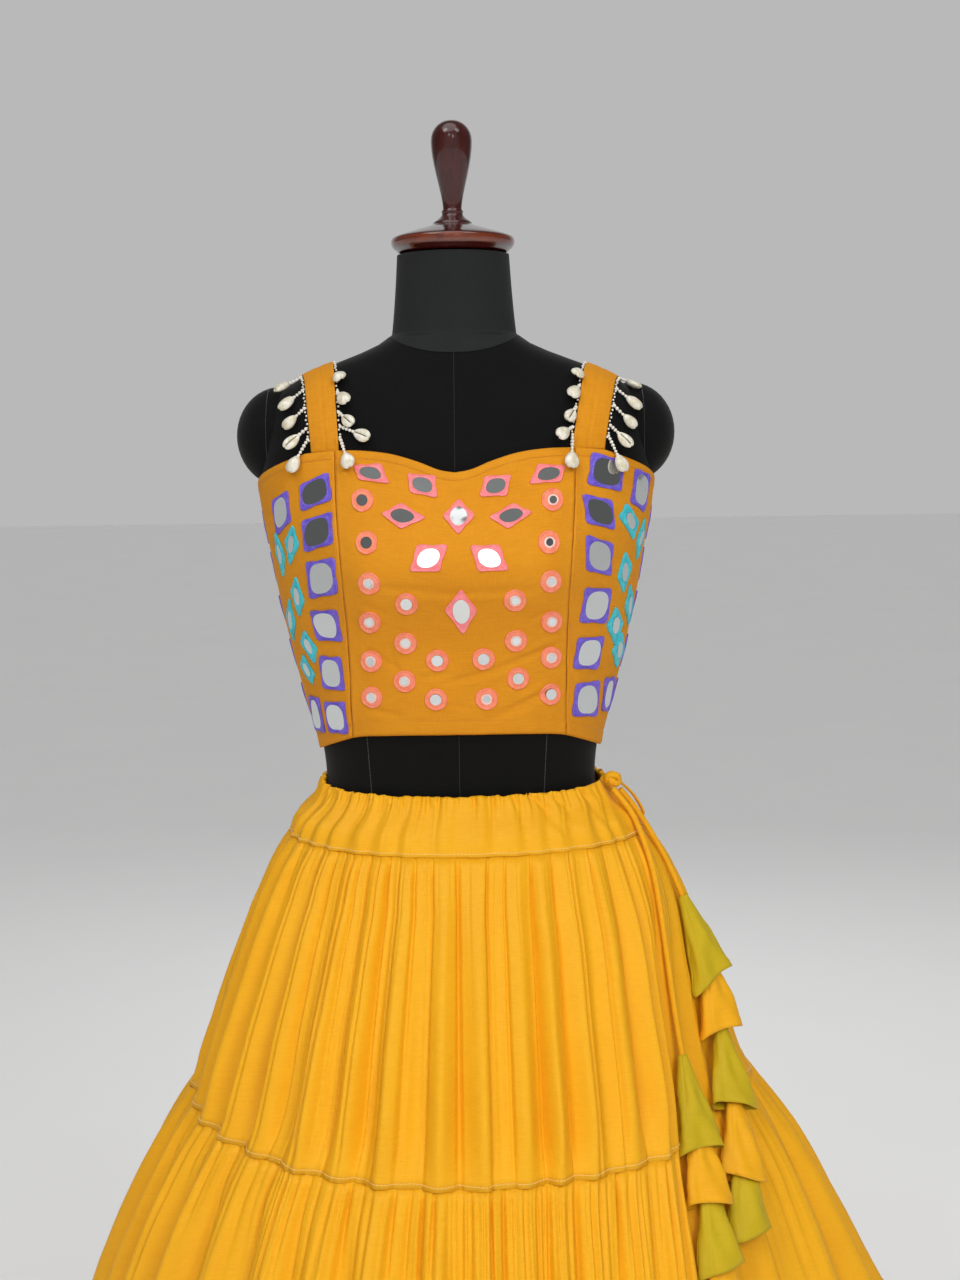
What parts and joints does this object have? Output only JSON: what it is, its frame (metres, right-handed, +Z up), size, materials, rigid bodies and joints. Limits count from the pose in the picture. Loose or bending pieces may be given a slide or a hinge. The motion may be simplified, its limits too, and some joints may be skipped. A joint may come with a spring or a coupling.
{
  "type": "lehenga choli on dress form and stand",
  "caption": "South Asian two-piece dress, strappy mirror-work choli and gathered tiered lehenga with cone tassels, worn on a limbless dress form with a turned neck cap.",
  "frame": {"origin": "on the floor, under the centre of the stand's base", "axes": "+Z up through the form's neck, -Y the garment's front, +X the side the drawstring's ends hang on"},
  "size_m": [1.0714, 1.0668, 1.6455],
  "materials": {
    "black_jersey": "matt stretch jersey",
    "charcoal_jersey": "matt stretch jersey",
    "lacquered_mahogany": "dark gloss lacquer",
    "black_steel": "satin black powder coat",
    "mustard_cotton": "matt plain-weave cotton",
    "cowrie_shell": "semi-gloss natural shell on cotton thread",
    "golden_rayon": "soft-sheen slub rayon",
    "olive_cloth": "matt plain-weave cotton"
  },
  "bodies": {
    "root": {"form_torso": "black_jersey", "form_neck": "charcoal_jersey", "form_cap": "lacquered_mahogany", "stand_pole": "black_steel", "stand_base": "black_steel", "choli_centre_front": "mustard_cotton", "choli_side_front_right": "mustard_cotton", "choli_side_front_left": "mustard_cotton", "choli_back_right": "mustard_cotton", "choli_back_left": "mustard_cotton", "strap_left": "mustard_cotton", "strap_right": "mustard_cotton", "cowrie_fringe_left_inner": "cowrie_shell", "cowrie_fringe_left_outer": "cowrie_shell", "cowrie_fringe_right_inner": "cowrie_shell", "cowrie_fringe_right_outer": "cowrie_shell", "waistband": "golden_rayon", "tier_1": "golden_rayon", "tier_2": "golden_rayon", "tier_3": "golden_rayon", "tier_4": "golden_rayon", "drawstring_knot": "golden_rayon", "drawstring_outer": "golden_rayon", "drawstring_inner": "golden_rayon", "latkan_outer_1": "olive_cloth", "latkan_outer_2": "golden_rayon", "latkan_outer_3": "olive_cloth", "latkan_outer_4": "golden_rayon", "latkan_outer_5": "olive_cloth", "latkan_inner_1": "olive_cloth", "latkan_inner_2": "golden_rayon", "latkan_inner_3": "olive_cloth", "latkan_inner_4": "golden_rayon", "latkan_inner_5": "olive_cloth"}
  },
  "joints": []
}
